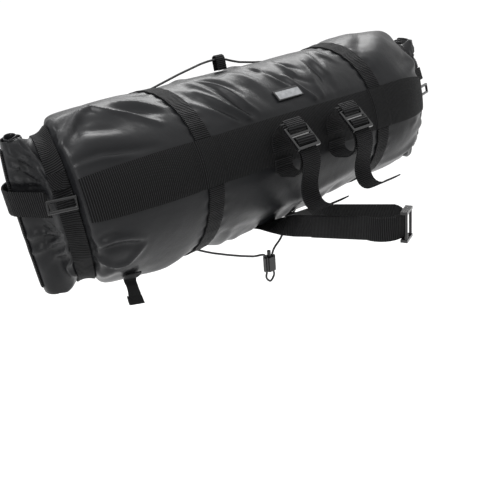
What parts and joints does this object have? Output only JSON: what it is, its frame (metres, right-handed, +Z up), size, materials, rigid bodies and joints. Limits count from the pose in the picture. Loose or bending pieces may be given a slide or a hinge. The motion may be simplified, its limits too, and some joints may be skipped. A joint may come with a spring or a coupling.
{
  "type": "bicycle handlebar bag",
  "caption": "Soft tube bag rolled shut at both ends, with webbing straps and ladder buckles that hang it from a handlebar and a strap round the steering column.",
  "frame": {"origin": "centre of the handlebar's clamp, on the bar's axis midway between the two handlebar straps", "axes": "+X is the rider's right, along the bag; +Y points forward, away from the rider; +Z is up"},
  "size_m": [0.6209, 0.3144, 0.2616],
  "materials": {
    "coated_fabric": "black coated woven fabric with a soft satin sheen",
    "webbing": "black ribbed webbing, matt",
    "gloss_plastic": "glossy black moulded plastic",
    "grey_patch": "light grey woven patch, bare",
    "elastic": "black braided elastic cord"
  },
  "bodies": {
    "root": {"back_strip": "webbing", "bag_body": "coated_fabric", "band_left": "webbing", "band_right": "webbing", "bar_anchor_left": "webbing", "bar_anchor_right": "webbing", "bar_buckle_left": "gloss_plastic", "bar_buckle_right": "gloss_plastic", "bar_strap_left": "webbing", "bar_strap_right": "webbing", "closure_slider_left": "gloss_plastic", "closure_slider_right": "gloss_plastic", "closure_strap_left": "webbing", "closure_strap_right": "webbing", "closure_tail_left": "webbing", "closure_tail_right": "webbing", "cord_lock": "gloss_plastic", "cord_tab_centre": "webbing", "cord_tab_low_left": "webbing", "cord_tab_low_right": "webbing", "cord_tab_top_left": "webbing", "cord_tab_top_right": "webbing", "elastic_cord": "elastic", "hang_tab": "webbing", "label_patch": "grey_patch", "lip_webbing_left": "webbing", "lip_webbing_right": "webbing", "roll_strap_left": "webbing", "roll_strap_right": "webbing", "steerer_slider": "gloss_plastic", "steerer_strap": "webbing", "steerer_tail": "webbing"}
  },
  "joints": []
}
